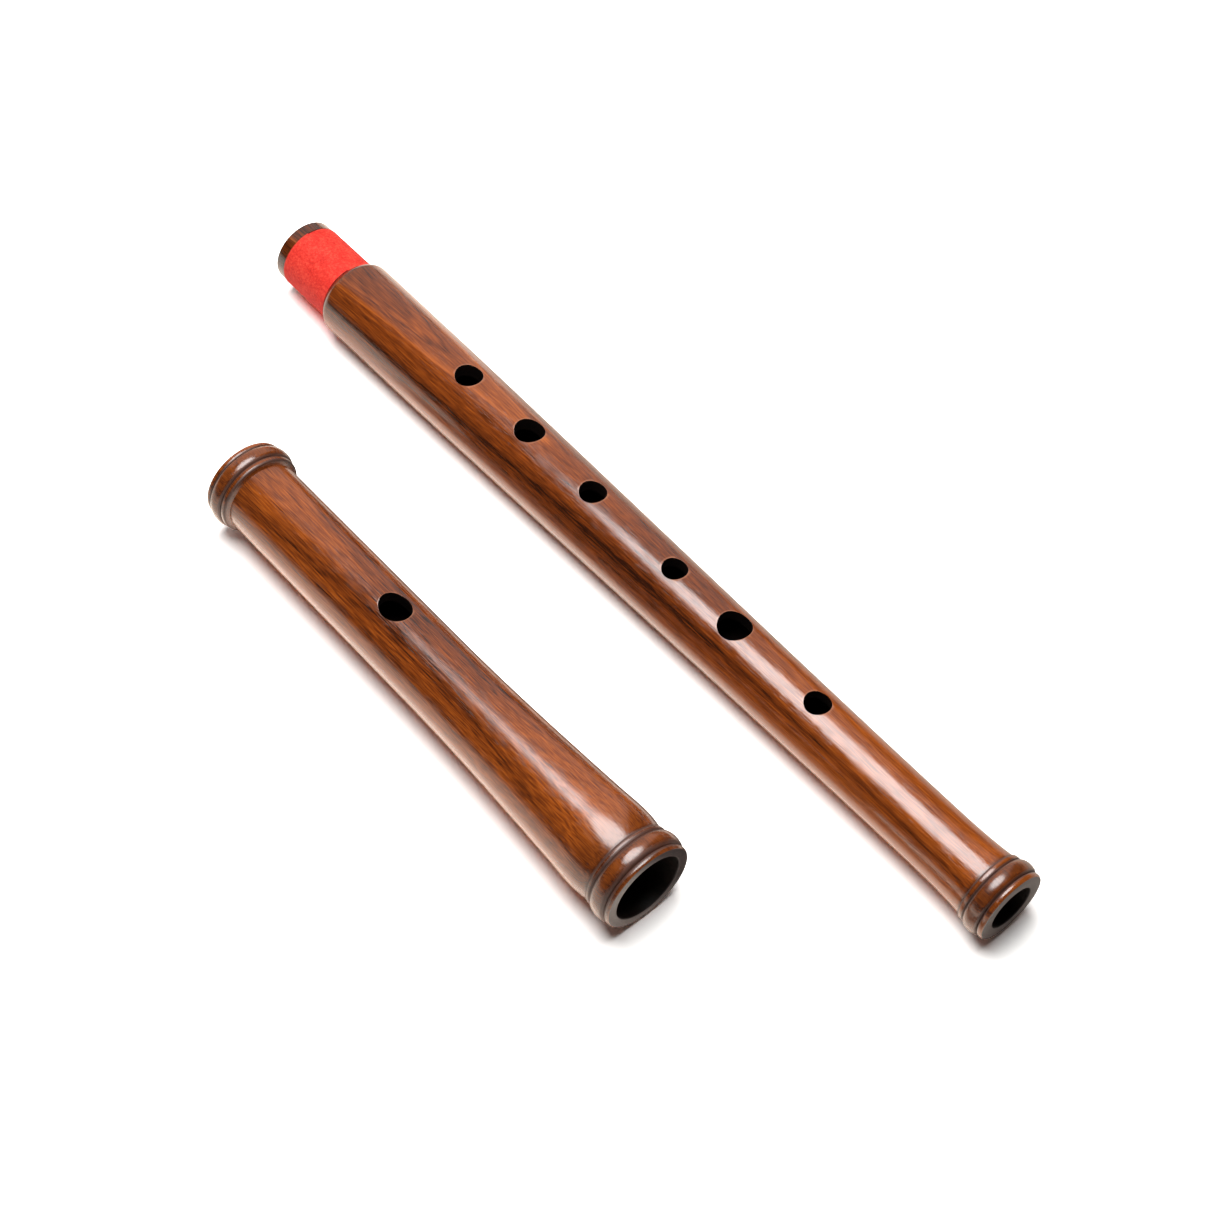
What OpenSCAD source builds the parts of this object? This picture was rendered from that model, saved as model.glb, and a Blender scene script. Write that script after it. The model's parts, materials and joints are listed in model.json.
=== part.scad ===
// Keyless wooden transverse flute in two joints, taken apart and laid side by side.
// Millimetres. X runs along the bores towards the foot, Z is up, and the flute lies on Z = 0.

/* [Head joint] */
// Length of the head joint from its crown face to its socket face
head_len = 194; // [180:0.5:215]
// Outside diameter of the plain upper part of the head
head_d = 25; // [24:0.1:27]
// Distance from the crown face to where the head starts to swell
swell_start = 96; // [90:0.5:115]
// Distance from the socket face back to the fattest part of the swelling
swell_back = 17; // [15.5:0.1:22]
// Diameter at the fattest part of the swelling
swell_d = 30.6; // [29.8:0.1:33]
// Length of the rounded run-up to the fattest part
swell_round = 11; // [8:0.5:16]
// Diameter of the run-up where its straight climb ends
swell_climb_d = 29.4; // [28.5:0.1:30]
// Diameter where the swelling meets the ring in front of the socket
swell_end_d = 29; // [28:0.1:29.8]
// Diameter of the cylindrical air bore through the head
head_bore_d = 17; // [14:0.1:18.4]

/* [Embouchure] */
// Distance from the crown face to the centre of the embouchure hole
mouth_at = 77.8; // [70:0.1:92]
// Length of the oval embouchure hole along the tube
mouth_len = 11.7; // [9:0.1:13]
// Width of the oval embouchure hole across the tube
mouth_w = 9.7; // [8:0.1:11]

/* [Stopper and crown plug] */
// Distance from the embouchure's centre back to the face of the stopper cork
cork_back = 17; // [14:0.1:22]
// Length of the stopper cork
cork_len = 17; // [12:0.1:20]
// Length of the wooden plug that closes the crown end
plug_len = 14; // [8:0.1:20]
// Depth of the plug's rim below the crown face
plug_inset = 0.6; // [0.3:0.1:2]
// Rise of the plug's domed face above its rim
plug_dome = 0.5; // [0.2:0.05:1]

/* [Body joint] */
// Length of the body joint from the tip of its tenon to its foot face
body_len = 333; // [315:0.5:360]
// Diameter of the barrel just below the tenon's shoulder
barrel_d = 27.2; // [26.4:0.1:28.4]
// Diameter at the narrow waist above the foot
waist_d = 21.06; // [20:0.1:23]
// Distance from the foot face back to the waist
waist_back = 33; // [26:0.5:45]
// Diameter of the flare where it meets the ring above the foot
flare_d = 22.8; // [22.2:0.1:23.4]
// Diameter of the air bore at the foot
foot_bore_d = 15; // [12:0.1:16.5]
// Length of the straight stretch of bore at the foot
foot_bore_len = 20; // [10:0.5:30]

/* [Tenon] */
// Length of the tenon from its tip to its shoulder
tenon_len = 26.3; // [22:0.1:30]
// Length of the bare wooden lip at the tip of the tenon
lip_len = 4; // [3:0.1:6]
// Diameter of the bare wooden lip
lip_d = 22.8; // [22:0.1:23]
// Length of the rounded bevel from the tenon up to the barrel
bevel_len = 3.5; // [2:0.1:6]
// Diameter over the thread wound on the tenon
thread_d = 23.2; // [22.6:0.1:24]
// Depth of the thread's seat below the wound surface
thread_depth = 1.1; // [0.9:0.05:1.3]
// Thickness of the outermost winding's thread
thread_t = 0.42; // [0.36:0.01:0.43]
// Number of turns in the outermost winding
thread_turns = 24; // [18:1:24]
// Depth of the socket beyond the tenon's tip
socket_relief = 0.7; // [0.3:0.1:2]

/* [Finger holes] */
// Distance of each hole's centre from the tip of the tenon
hole_at = [88.7, 118.6, 150, 188.3, 215.5, 251.6];
// Diameter of each hole
hole_d = [9.3, 10.1, 9, 8.4, 11, 8.6];
// Angle of each hole from the line of the others
hole_turn = [0, 2.4, 0, 0, 0, 0];

/* [Turned ends] */
// Diameter over the crown's bead
crown_bead_d = 30.3; // [29.6:0.1:32]
// Diameter over the socket's bead
socket_bead_d = 32; // [31.4:0.1:34]
// Diameter over the foot's bead
foot_bead_d = 25.9; // [25.4:0.1:27]
// Width of the crown's bead
crown_bead_w = 5; // [4:0.1:6]
// Width of the socket's bead
socket_bead_w = 6.1; // [5:0.1:7]
// Width of the foot's bead
foot_bead_w = 5.4; // [4.5:0.1:6.5]
// Width of the fine ring inside each bead
ring_w = 2.1; // [1.6:0.1:2.6]
// Width of the lip outside each bead
rim_w = 2; // [1.6:0.1:2.6]
// Drop from the bead's crest to the fine ring's crest
ring_drop = 0.9; // [0.7:0.05:1.1]
// Drop from the bead's crest to the lip's crest
rim_drop = 0.75; // [0.6:0.05:0.95]
// Drop from the bead's crest to the grooves beside it
groove_drop = 1.3; // [1.15:0.05:1.6]
// Length of the fillet from the crown's ring down to the tube
crown_fillet = 0.8; // [0.4:0.1:1.5]

/* [Fits] */
// Radial play of the wound tenon in the socket
socket_play = 0.1; // [0.05:0.01:0.2]
// Radial play of the cork and the plug in the head's bore
stopper_play = 0.05; // [0.02:0.01:0.1]
// Play between the thread and its seat
thread_play = 0.03; // [0.02:0.01:0.05]

/* [How it lies] */
// Distance between the two joints' axes
lay_gap = 74.4; // [60:0.1:100]
// Distance of the crown face past the tenon's tip, towards the foot
lay_shift = 68.1; // [40:0.1:120]
// Turn of the holes from straight up, away from the head's side
lay_turn = 5.1; // [0:0.1:20]

/* [Hidden] */
$fn = 96;
eps = 0.01;

// Steps along one curve of a turned outline, and round one bead
curve_steps = 12;
bead_steps = 10;

// Turned ends, from the driving diameters
head_r = head_d / 2;
barrel_r = barrel_d / 2;
waist_r = waist_d / 2;
bore_r = head_bore_d / 2;
foot_bore_r = foot_bore_d / 2;
thread_r = thread_d / 2;
socket_r = thread_r + socket_play;
socket_depth = tenon_len + socket_relief;
stopper_r = bore_r - stopper_play;
seat_r = thread_r - thread_depth;
end_w = function(bead_w) ring_w + bead_w + rim_w;
crown_w = end_w(crown_bead_w);
socket_w = end_w(socket_bead_w);
foot_w = end_w(foot_bead_w);

// Places along the head and the body
swell_at = head_len - swell_back;
swell_end = head_len - socket_w;
climb_at = swell_at - swell_round;
// Climb of the swelling where its rounded run-up begins
climb_slope = 0.05;
// Fall of the swelling where it meets the ring
swell_fall = -0.22;
flare_end = body_len - foot_w;
waist_at = body_len - waist_back;
barrel_at = tenon_len + bevel_len;
// Share of its mean taper that the barrel keeps at its two ends
taper_share = 0.25;

// Where the joints lie
body_y = (lay_gap + socket_bead_d / 2 - barrel_r) / 2;
head_y = body_y - lay_gap;
tip_x = -body_len / 2;
crown_x = tip_x + lay_shift;

// The outermost winding: one tube of thread on the tenon
wind_rings = 24;
wind_sides = 6;
wind_bend = 1.5 * thread_t;
wind_end = wind_bend + thread_t + thread_play;
wind_r = thread_r - thread_t / 2;
wind_at = lip_len + wind_end;
wind_pitch = (tenon_len - lip_len - 2 * wind_end) / thread_turns;
wind_core_r = wind_r * cos(180 / wind_rings) - thread_t / 2 - thread_play;

// A point of a smooth curve from p to q, with slopes m and n at its ends
function bend_at(p, q, m, n, t) =
    let (w = q.x - p.x, s = t * t * (3 - 2 * t))
    [p.x + w * t,
     p.y + (q.y - p.y) * s + w * (m * t * (1 - t) ^ 2 - n * t ^ 2 * (1 - t))];

function bend(p, q, m, n) =
    [for (i = [0 : curve_steps]) bend_at(p, q, m, n, i / curve_steps)];

// A half round from x = a to x = b, standing on the radius base with its crest at the radius top
function half_round(a, b, base, top) =
    [for (i = [0 : bead_steps]) let (t = 180 * i / bead_steps)
        [(a + b) / 2 - (b - a) / 2 * cos(t), base + (top - base) * sin(t)]];

// A fine ring, a bead and an end lip, turned from x = a towards the end at a + dir * the width
function turned_end(a, dir, bead_r, bead_w) =
    let (b = a + dir * ring_w, c = b + dir * bead_w, d = c + dir * rim_w, low = bead_r - groove_drop)
    concat(half_round(a, b, low, bead_r - ring_drop),
           half_round(b, c, low, bead_r),
           half_round(c, d, low, bead_r - rim_drop));

function reversed(v) = [for (i = [len(v) - 1 : -1 : 0]) v[i]];

// Neighbouring points that differ
function no_doubles(v) =
    [for (i = [0 : len(v) - 1]) if (i == 0 || norm(v[i] - v[i - 1]) > eps) v[i]];

head_outline = concat(
    reversed(turned_end(crown_w, -1, crown_bead_d / 2, crown_bead_w)),
    [[crown_w + crown_fillet, head_r]],
    bend([swell_start, head_r], [climb_at, swell_climb_d / 2], 0, climb_slope),
    bend([climb_at, swell_climb_d / 2], [swell_at, swell_d / 2], climb_slope, 0),
    bend([swell_at, swell_d / 2], [swell_end, swell_end_d / 2], 0, swell_fall),
    turned_end(swell_end, 1, socket_bead_d / 2, socket_bead_w));

barrel_slope = taper_share * (waist_r - barrel_r) / (waist_at - barrel_at);
flare_slope = 3 * (flare_d / 2 - waist_r) / (flare_end - waist_at);
body_outline = concat(
    [[0, lip_d / 2], [lip_len, lip_d / 2], [lip_len, seat_r], [tenon_len, seat_r], [tenon_len, thread_r]],
    bend([tenon_len, thread_r], [barrel_at, barrel_r], 2 * (barrel_r - thread_r) / bevel_len, barrel_slope),
    bend([barrel_at, barrel_r], [waist_at, waist_r], barrel_slope, barrel_slope),
    bend([waist_at, waist_r], [flare_end, flare_d / 2], 0, flare_slope),
    turned_end(flare_end, 1, foot_bead_d / 2, foot_bead_w));

// Turns an outline of [place, radius] points about X, solid down to the axis
module turned(outline) {
    points = no_doubles(outline);
    first = points[0].x;
    last = points[len(points) - 1].x;
    rotate([0, 90, 0])
        rotate_extrude()
            polygon([[0, first], for (p = points) [p.y, p.x], [0, last]]);
}

// A round bar along X, with its ends' diameters
module bar(from, to, d1, d2) {
    translate([from, 0, 0])
        rotate([0, 90, 0])
            cylinder(h = to - from, d1 = d1, d2 = d2);
}

// An oval of formula points
module oval(length, width) {
    polygon([for (i = [0 : 59]) [length / 2 * cos(6 * i), width / 2 * sin(6 * i)]]);
}

module in_head_place() {
    translate([crown_x, head_y, socket_bead_d / 2])
        rotate([-lay_turn, 0, 0])
            children();
}

module in_body_place() {
    translate([tip_x, body_y, barrel_r])
        rotate([-lay_turn, 0, 0])
            children();
}

// Turned wood with its bore, its socket and its oval embouchure hole
module head_tube() {
    color("#6b3a22")
        in_head_place()
            difference() {
                turned(head_outline);
                bar(-eps, head_len + eps, head_bore_d, head_bore_d);
                bar(head_len - socket_depth, head_len + eps, 2 * socket_r, 2 * socket_r);
                translate([mouth_at, 0, 0])
                    linear_extrude(swell_d)
                        oval(mouth_len, mouth_w);
            }
}

// Turned plug with a domed face, pushed into the crown end of the bore
module crown_plug() {
    dome_r = (stopper_r ^ 2 + plug_dome ^ 2) / (2 * plug_dome);
    half = asin(stopper_r / dome_r);
    face = [for (i = [0 : curve_steps]) let (t = half * i / curve_steps)
        [plug_inset - plug_dome + dome_r * (1 - cos(t)), dome_r * sin(t)]];
    color("#5c301b")
        in_head_place()
            turned(concat(face, [[plug_inset + plug_len, stopper_r]]));
}

// Cork cylinder that closes the bore above the embouchure
module stopper_cork() {
    face = mouth_at - cork_back;
    color("#c79a63")
        in_head_place()
            bar(face - cork_len, face, 2 * stopper_r, 2 * stopper_r);
}

// Turned wood with its tenon, its tapering bore and its finger holes
module body_tube() {
    straight_at = body_len - foot_bore_len;
    color("#6b3a22")
        in_body_place()
            difference() {
                turned(body_outline);
                bar(-eps, straight_at, head_bore_d, foot_bore_d);
                bar(straight_at - eps, body_len + eps, foot_bore_d, foot_bore_d);
                for (i = [0 : len(hole_at) - 1])
                    translate([hole_at[i], 0, 0])
                        rotate([-hole_turn[i], 0, 0])
                            cylinder(h = barrel_d, d = hole_d[i]);
            }
}

// Centre line of the winding, unrolled as [length round the tenon, place along it]:
// straight out of the lip's wall, a quarter bend, the turns, a quarter bend and straight to the shoulder
wind_round = 360 * wind_r * PI / 180;
wind_far = [thread_turns * wind_round, wind_at + thread_turns * wind_pitch];
bend_steps = 4;
wind_flat = concat(
    [[-wind_bend, wind_at - wind_bend - thread_t]],
    [for (i = [0 : bend_steps]) let (t = 90 * i / bend_steps)
        [-wind_bend * cos(t), wind_at - wind_bend * (1 - sin(t))]],
    [for (i = [1 : thread_turns * wind_rings - 1]) let (t = i / wind_rings)
        [t * wind_round, wind_at + t * wind_pitch]],
    [for (i = [0 : bend_steps]) let (t = 90 * i / bend_steps)
        [wind_far.x + wind_bend * sin(t), wind_far.y + wind_bend * (1 - cos(t))]],
    [[wind_far.x + wind_bend, wind_far.y + wind_bend + thread_t]]);

// The unrolled point p, laid on the tenon at the radius r
function rolled(p, r) = let (a = 360 * p.x / wind_round) [p.y, r * sin(a), r * cos(a)];

wind_line = [for (p = wind_flat) rolled(p, wind_r)];

// Direction of the unrolled centre line at its point i
function wind_way(i) =
    let (a = wind_flat[max(0, i - 1)], b = wind_flat[min(len(wind_flat) - 1, i + 1)])
    (b - a) / norm(b - a);

// One ring of the winding's tube, square to its centre line
function wind_ring(i) =
    let (way = wind_way(i), side = [way.y, -way.x])
    [for (k = [0 : wind_sides - 1])
        let (a = 360 * k / wind_sides, out = thread_t / 2 * cos(a), across = thread_t / 2 * sin(a),
             turn = 360 * wind_flat[i].x / wind_round, up = [0, sin(turn), cos(turn)],
             round = [0, cos(turn), -sin(turn)])
        wind_line[i] + out * up + across * (side.x * round + [side.y, 0, 0])];

// Least gap between the tube and itself, a turn further on
wind_gap = min([for (i = [0 : len(wind_line) - 1], k = [wind_rings - 6 : wind_rings + 6])
    if (i + k < len(wind_line)) norm(wind_line[i] - wind_line[i + k])]) - thread_t;
echo(least_gap_of_the_winding_to_itself = wind_gap);

module winding() {
    last = len(wind_line) - 1;
    points = [for (i = [0 : last]) each wind_ring(i)];
    function at(i, k) = i * wind_sides + k % wind_sides;
    faces = concat(
        [for (k = [1 : wind_sides - 2]) [0, k + 1, k]],
        [for (i = [0 : last - 1], k = [0 : wind_sides - 1])
            each [[at(i, k), at(i, k + 1), at(i + 1, k)],
                  [at(i, k + 1), at(i + 1, k + 1), at(i + 1, k)]]],
        [for (k = [1 : wind_sides - 2]) [at(last, 0), at(last, k), at(last, k + 1)]]);
    polyhedron(points, faces);
}

// Red thread: plain inner layers, and the outermost winding as one unbroken tube
module tenon_thread() {
    color("#d8262b")
        in_body_place() {
            difference() {
                bar(lip_len + thread_play, tenon_len - thread_play, 2 * wind_core_r, 2 * wind_core_r);
                bar(lip_len, tenon_len, 2 * (seat_r + thread_play), 2 * (seat_r + thread_play));
            }
            winding();
        }
}

head_tube();
crown_plug();
stopper_cork();
body_tube();
tenon_thread();
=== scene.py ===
import json
import math

import bpy
import numpy as np
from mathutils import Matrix, Vector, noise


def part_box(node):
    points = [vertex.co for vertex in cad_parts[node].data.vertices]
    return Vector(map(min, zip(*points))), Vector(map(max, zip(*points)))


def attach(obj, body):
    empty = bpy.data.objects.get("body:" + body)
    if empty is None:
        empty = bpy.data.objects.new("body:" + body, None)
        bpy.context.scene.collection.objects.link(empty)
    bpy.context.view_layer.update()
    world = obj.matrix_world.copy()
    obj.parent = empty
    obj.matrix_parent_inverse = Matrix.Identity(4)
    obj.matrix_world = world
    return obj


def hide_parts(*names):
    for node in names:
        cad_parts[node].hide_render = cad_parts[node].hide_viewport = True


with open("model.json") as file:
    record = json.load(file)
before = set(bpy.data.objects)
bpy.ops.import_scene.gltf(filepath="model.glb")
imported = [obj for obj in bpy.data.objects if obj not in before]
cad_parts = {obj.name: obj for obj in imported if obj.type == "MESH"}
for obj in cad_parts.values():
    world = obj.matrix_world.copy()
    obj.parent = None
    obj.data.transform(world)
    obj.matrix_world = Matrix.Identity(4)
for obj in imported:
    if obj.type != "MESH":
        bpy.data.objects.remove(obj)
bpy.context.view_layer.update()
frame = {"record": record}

# Head joint: one billet of reddish-brown hardwood, bored through and turned on a lathe.
# Its crown has a lip, a bead and a fine ring, it swells to the socket at the other end,
# and the oval embouchure hole is cut through its side and eased at the rim.
MM = 0.001
RING_W, RIM_W = 2.1, 2.0
RING_DROP, RIM_DROP, GROOVE_DROP = 0.9, 0.75, 1.3


def eased(start, end, slope_in, slope_out, places):
    """Points of a smooth curve between two (place, radius) points, with its slopes at both ends."""
    (a, p), (b, q) = start, end
    run = b - a
    points = []
    for place in places:
        t = (place - a) / run
        lift = slope_in * t * (1 - t) ** 2 - slope_out * t ** 2 * (1 - t)
        points.append((place, p + (q - p) * t * t * (3 - 2 * t) + run * lift))
    return points


def half_round(a, b, base, crest, steps=14):
    """Points of a half round from a to b, standing on the radius base."""
    turns = [math.pi * i / steps for i in range(steps + 1)]
    return [((a + b) / 2 - (b - a) / 2 * math.cos(t), base + (crest - base) * math.sin(t)) for t in turns]


def turned_end(start, way, bead_r, bead_w):
    """A fine ring, a bead and an end lip, cut one after the other from start towards the joint's end."""
    low = bead_r - GROOVE_DROP
    ring_end = start + way * RING_W
    bead_end = ring_end + way * bead_w
    return (half_round(start, ring_end, low, bead_r - RING_DROP)
            + half_round(ring_end, bead_end, low, bead_r)[1:]
            + half_round(bead_end, bead_end + way * RIM_W, low, bead_r - RIM_DROP)[1:])


def rounded_mouth(face, way, bore_r, ease, steps=5):
    """Points of an eased edge from an end face into a bore."""
    turns = [math.pi / 2 * i / steps for i in range(steps + 1)]
    return [(face - way * ease * (1 - math.cos(t)), bore_r + ease * (1 - math.sin(t))) for t in turns]


# The mesh is fine round a hole. It takes FIELD_BLOCK steps from the middle to the rim, and it is drawn
# to the rim out to FIELD_COLUMNS steps along the joint and FIELD_ROWS steps round it.
FINE_PITCH, WIDE_PITCH = 0.75, 3.0
FIELD_BLOCK, FIELD_COLUMNS, FIELD_ROWS = 8, 12, 24


def places_between(start, end, marks=()):
    """Places along a joint: close together beside the marks, where holes are cut, and wider elsewhere."""
    places = [start]
    margin = FINE_PITCH * (FIELD_COLUMNS + 2)
    while places[-1] < end - WIDE_PITCH / 3:
        near = any(abs(places[-1] - mark) < margin for mark in marks)
        coming = [mark for mark in marks if mark > places[-1]]
        gap = min([mark - margin - places[-1] for mark in coming] + [WIDE_PITCH])
        places.append(places[-1] + (FINE_PITCH if near or gap < FINE_PITCH else gap))
    return places[:-1] + [end]


def middle_of(solid):
    """Y and Z of a CAD solid's axis, in millimetres, from the frame."""
    low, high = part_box(solid)
    return (low.y + high.y) / 2 / MM, (low.z + high.z) / 2 / MM


def corners_of(solid):
    """A CAD solid's low and high corners, in millimetres, from the frame."""
    return [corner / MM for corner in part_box(solid)]


TURN_STEPS = 128
MERGE_UNDER = 1e-6


def turn(name, outline, start, axis):
    """Spins an outline of (place, radius) points about a piece's axis."""
    bpy.ops.object.select_all(action="DESELECT")
    bpy.ops.mesh.primitive_circle_add(vertices=len(outline), radius=1)
    piece = bpy.context.object
    piece.name = name
    for vertex, (place, radius) in zip(piece.data.vertices, outline):
        vertex.co = Vector((start + place, axis[0], axis[1] + radius)) * MM
    bpy.ops.object.mode_set(mode="EDIT")
    bpy.ops.mesh.select_all(action="SELECT")
    bpy.ops.mesh.spin(steps=TURN_STEPS, angle=2 * math.pi, axis=(1, 0, 0),
                      center=(0, axis[0] * MM, axis[1] * MM), use_auto_merge=True)
    bpy.ops.mesh.select_all(action="SELECT")
    bpy.ops.mesh.remove_doubles(threshold=MERGE_UNDER)
    bpy.ops.mesh.normals_make_consistent(inside=False)
    bpy.ops.object.mode_set(mode="OBJECT")
    return piece


def points_of(piece, start, axis):
    """Each vertex's place, radius and angle about a joint's axis. The angle runs from straight up to -Y."""
    flat = np.empty(3 * len(piece.data.vertices))
    piece.data.vertices.foreach_get("co", flat)
    x, y, z = flat.reshape(-1, 3).T / MM
    return x - start, np.hypot(y - axis[0], z - axis[1]), np.arctan2(axis[0] - y, z - axis[1])


def square_angle(f, g):
    """Angle that spreads the border of a square evenly round a circle."""
    wide = np.abs(f) >= np.abs(g)
    with np.errstate(divide="ignore", invalid="ignore"):
        along = np.pi / 4 * g / np.abs(f)
        across = np.pi / 2 - np.pi / 4 * f / np.abs(g)
    return np.where(wide, np.where(f < 0, np.pi - along, along), np.where(g < 0, -across, across))


ON_PLACE, ON_WALL, ON_RIM = 0.01, 0.05, 1e-6


def cut_hole(piece, start, axis, walls, places, centre, angle, half_len, half_w):
    """Cuts a hole square through a tube's walls. The mesh round it is drawn to its rim on both of them."""
    mesh = piece.data
    place, radius, theta = points_of(piece, start, axis)
    step = 2 * math.pi / TURN_STEPS
    column = np.abs(place[:, None] - np.array(places)[None, :]).argmin(1)
    column = column - int(np.abs(np.array(places) - centre).argmin())
    row = np.round(theta / step).astype(int) - round(angle / step)
    row = (row + TURN_STEPS // 2) % TURN_STEPS - TURN_STEPS // 2

    def spread(steps, most):
        inner = steps / FIELD_BLOCK
        outer = np.sign(steps) * (1 + (np.abs(steps) - FIELD_BLOCK) / (most - FIELD_BLOCK))
        return np.where(np.abs(steps) <= FIELD_BLOCK, inner, outer)

    f, g = spread(column, FIELD_COLUMNS), spread(row, FIELD_ROWS)
    ring = np.maximum(np.abs(f), np.abs(g))
    on_grid = np.abs(place[:, None] - np.array(places)[None, :]).min(1) < ON_PLACE
    inside = np.zeros(len(place), bool)
    rim = np.zeros(len(place), bool)
    for wall in walls:
        on_wall = on_grid & (np.abs(radius - wall(place)) < ON_WALL)
        inside |= on_wall & (ring < 1 - ON_RIM)
        field = on_wall & (ring >= 1 - ON_RIM) & (ring < 2)
        fade = ring[field] - 1
        way = square_angle(f[field] / ring[field], g[field] / ring[field])
        rim_place = centre + half_len * np.cos(way)
        rim_theta = angle + np.arcsin(half_w * np.sin(way) / wall(rim_place))
        new_place = rim_place * (1 - fade) + place[field] * fade
        # Angles are blended from the hole's line, so that the seam opposite it plays no part.
        old_theta = angle + (theta[field] - angle + np.pi) % (2 * np.pi) - np.pi
        theta[field] = rim_theta * (1 - fade) + old_theta * fade
        place[field] = new_place
        radius[field] = wall(new_place)
        if wall is walls[0]:
            rim |= on_wall & (np.abs(ring - 1) < ON_RIM)
    moved = np.stack([start + place, axis[0] - radius * np.sin(theta),
                      axis[1] + radius * np.cos(theta)], 1)
    mesh.vertices.foreach_set("co", (moved * MM).ravel())
    weight = mesh.attributes.get("bevel_weight_edge")
    if weight is None:
        weight = mesh.attributes.new("bevel_weight_edge", "FLOAT", "EDGE")
    ends = np.empty(2 * len(mesh.edges), int)
    mesh.edges.foreach_get("vertices", ends)
    values = np.empty(len(mesh.edges))
    weight.data.foreach_get("value", values)
    weight.data.foreach_set("value", np.maximum(values, rim[ends].reshape(-1, 2).all(1)))
    mesh.polygons.foreach_set("select", np.zeros(len(mesh.polygons), bool))
    mesh.edges.foreach_set("select", np.zeros(len(mesh.edges), bool))
    mesh.vertices.foreach_set("select", inside)
    bpy.ops.object.mode_set(mode="EDIT")
    bpy.ops.mesh.select_mode(type="VERT")
    bpy.ops.mesh.delete(type="VERT")
    bpy.ops.mesh.select_mode(type="EDGE")
    bpy.ops.mesh.select_non_manifold(extend=False)
    bpy.ops.mesh.bridge_edge_loops()
    bpy.ops.mesh.select_all(action="DESELECT")
    bpy.ops.object.mode_set(mode="OBJECT")


RIM_STEPS = 4


def ease_rims(piece, width):
    """Rounds the marked rims of the holes and marks them to be coloured paler than the rest."""
    mesh = piece.data
    ends = np.empty(2 * len(mesh.edges), int)
    mesh.edges.foreach_get("vertices", ends)
    rims = np.empty(len(mesh.edges))
    mesh.attributes["bevel_weight_edge"].data.foreach_get("value", rims)
    paleness = np.zeros(len(mesh.vertices))
    paleness[ends.reshape(-1, 2)[rims > 0.5].ravel()] = 1
    mesh.attributes.new("paleness", "FLOAT", "POINT").data.foreach_set("value", paleness)
    bevel = piece.modifiers.new("rims", "BEVEL")
    bevel.limit_method = "WEIGHT"
    bevel.width = width * MM
    bevel.segments = RIM_STEPS
    bpy.ops.object.modifier_apply(modifier=bevel.name)


def outside_of(outline):
    """The radius of an outline at any place."""
    at, radius = np.array(outline).T
    return lambda place: np.interp(place, at, radius)


WAX_AND_SHADE_DEPTH, SKIN_DEPTH, END_DEPTH, END_FACING = 0.3, 0.6, 0.3, 0.85
SMOOTH_UNDER = math.radians(40)


def finish_wood(piece, start, axis, length, outer, grooves, woods):
    """Gives the turned outside its polished wood, the bore and the holes their dark, oil-soaked wood and
    the end faces their end grain. Each groove gets dark wax and painted shade, given by its place, width
    and amount."""
    for wood in woods:
        piece.data.materials.append(wood)
    place, radius, _ = points_of(piece, start, axis)
    on_skin = outer(place) - radius < WAX_AND_SHADE_DEPTH
    wax_and_shade = sum(much * np.exp(-((place - at) / wide) ** 2) for at, wide, much in grooves) * on_skin
    attribute = piece.data.attributes.new("groove", "FLOAT", "POINT")
    attribute.data.foreach_set("value", np.minimum(wax_and_shade, 1))
    flat = np.empty(3 * len(piece.data.polygons))
    piece.data.polygons.foreach_get("center", flat)
    x, y, z = flat.reshape(-1, 3).T / MM
    depth = outer(x - start) - np.hypot(y - axis[0], z - axis[1])
    hidden = depth > SKIN_DEPTH
    piece.data.polygons.foreach_get("normal", flat)
    facing = np.abs(flat.reshape(-1, 3)[:, 0]) > END_FACING
    at_end = facing & ((x - start < END_DEPTH) | (x - start > length - END_DEPTH))
    piece.data.polygons.foreach_set("material_index", np.where(at_end, 2, hidden).astype(int))
    bpy.ops.object.select_all(action="DESELECT")
    piece.select_set(True)
    bpy.context.view_layer.objects.active = piece
    bpy.ops.object.shade_smooth_by_angle(angle=SMOOTH_UNDER)


def node(tree, kind, sockets=None, **settings):
    """A shader node with its settings, and its inputs linked or set."""
    made = tree.nodes.new(kind)
    for key, value in settings.items():
        setattr(made, key, value)
    for socket, value in (sockets or {}).items():
        if isinstance(value, bpy.types.NodeSocket):
            tree.links.new(value, made.inputs[socket])
        else:
            made.inputs[socket].default_value = value
    return made


def ramp(tree, factor, stops):
    """A colour ramp through (position, colour) stops."""
    made = node(tree, "ShaderNodeValToRGB", {"Fac": factor})
    elements = made.color_ramp.elements
    while len(elements) < len(stops):
        elements.new(0.5)
    for element, (position, colour) in zip(elements, stops):
        element.position = position
        element.color = (*colour, 1) if len(colour) == 3 else colour
    return made.outputs["Color"]


def new_finish(name):
    """A new material, its nodes, its shader and the place on the piece."""
    material = bpy.data.materials.new(name)
    material.use_nodes = True
    tree = material.node_tree
    here = node(tree, "ShaderNodeTexCoord").outputs["Object"]
    return material, tree, tree.nodes["Principled BSDF"], here


def speckle(tree, place, scale, detail, roughness=0.5):
    """A noise pattern's value at a place."""
    return node(tree, "ShaderNodeTexNoise", {"Vector": place, "Scale": scale, "Detail": detail,
                                             "Roughness": roughness}).outputs["Fac"]


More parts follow.
